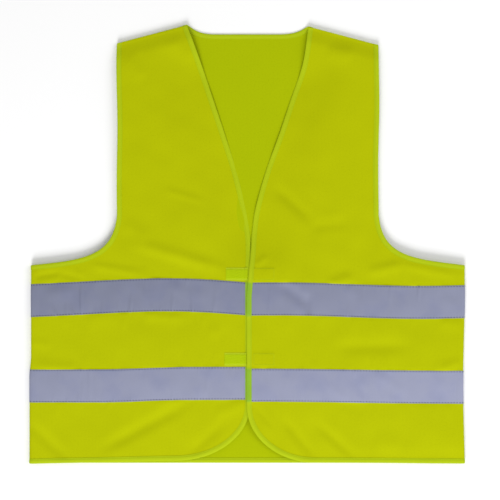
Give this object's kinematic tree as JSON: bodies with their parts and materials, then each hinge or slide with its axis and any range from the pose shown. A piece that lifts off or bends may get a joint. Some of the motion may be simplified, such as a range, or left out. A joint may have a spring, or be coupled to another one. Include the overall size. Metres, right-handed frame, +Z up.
{
  "type": "high visibility vest",
  "caption": "Sleeveless high visibility waistcoat laid flat, with bound edges, reflective bands and fronts that fold open.",
  "frame": {"origin": "on the surface that the vest lies on, under the middle of its outline", "axes": "+X towards the wearer's left, +Y from the hem to the neck, +Z up, out of the wearer's chest"},
  "size_m": [0.666, 0.6711, 0.0107],
  "materials": {
    "cloth": "fluorescent yellow warp-knit polyester, matt with a slight sheen",
    "binding": "fluorescent yellow-green folded woven binding",
    "reflective_tape": "silver grey glass bead reflective tape",
    "loop_tape": "brushed yellow-green loop tape",
    "hook_tape": "yellow-green hook tape",
    "thread": "grey polyester sewing thread",
    "label_cloth": "white satin label ribbon, blank"
  },
  "bodies": {
    "shell": {"back_panel": "cloth", "right_front_side_panel": "cloth", "left_front_side_panel": "cloth", "neck_binding": "binding", "hem_binding_back": "binding", "right_hem_binding_front": "binding", "left_hem_binding_front": "binding", "right_armhole_binding_front": "binding", "left_armhole_binding_front": "binding", "right_armhole_binding_back": "binding", "left_armhole_binding_back": "binding", "upper_band_back": "reflective_tape", "lower_band_back": "reflective_tape", "right_upper_band_side": "reflective_tape", "left_upper_band_side": "reflective_tape", "right_lower_band_side": "reflective_tape", "left_lower_band_side": "reflective_tape", "right_side_seam": "cloth", "left_side_seam": "cloth", "right_shoulder_seam": "cloth", "left_shoulder_seam": "cloth", "back_band_stitching": "thread", "right_side_band_stitching": "thread", "left_side_band_stitching": "thread", "care_label": "label_cloth"},
    "right_front": {"right_front_panel": "cloth", "right_front_edge_binding": "binding", "right_upper_band_front": "reflective_tape", "right_lower_band_front": "reflective_tape", "right_front_band_stitching": "thread", "upper_loop_patch": "loop_tape", "lower_loop_patch": "loop_tape", "loop_patch_stitching": "thread"},
    "left_front": {"left_front_panel": "cloth", "left_front_edge_binding": "binding", "left_upper_band_front": "reflective_tape", "left_lower_band_front": "reflective_tape", "left_front_band_stitching": "thread", "upper_hook_patch": "hook_tape", "lower_hook_patch": "hook_tape", "hook_patch_stitching": "thread"}
  },
  "joints": [
    {"name": "right_front_fold", "type": "hinge", "parent": "shell", "child": "right_front", "pos_m": [-0.24, -0.3352, 0.0105], "axis": [-0.2352, -0.972, 0], "range_deg": [0, 175]},
    {"name": "left_front_fold", "type": "hinge", "parent": "shell", "child": "left_front", "pos_m": [0.24, -0.3352, 0.0105], "axis": [-0.2352, 0.972, 0], "range_deg": [0, 175]}
  ]
}
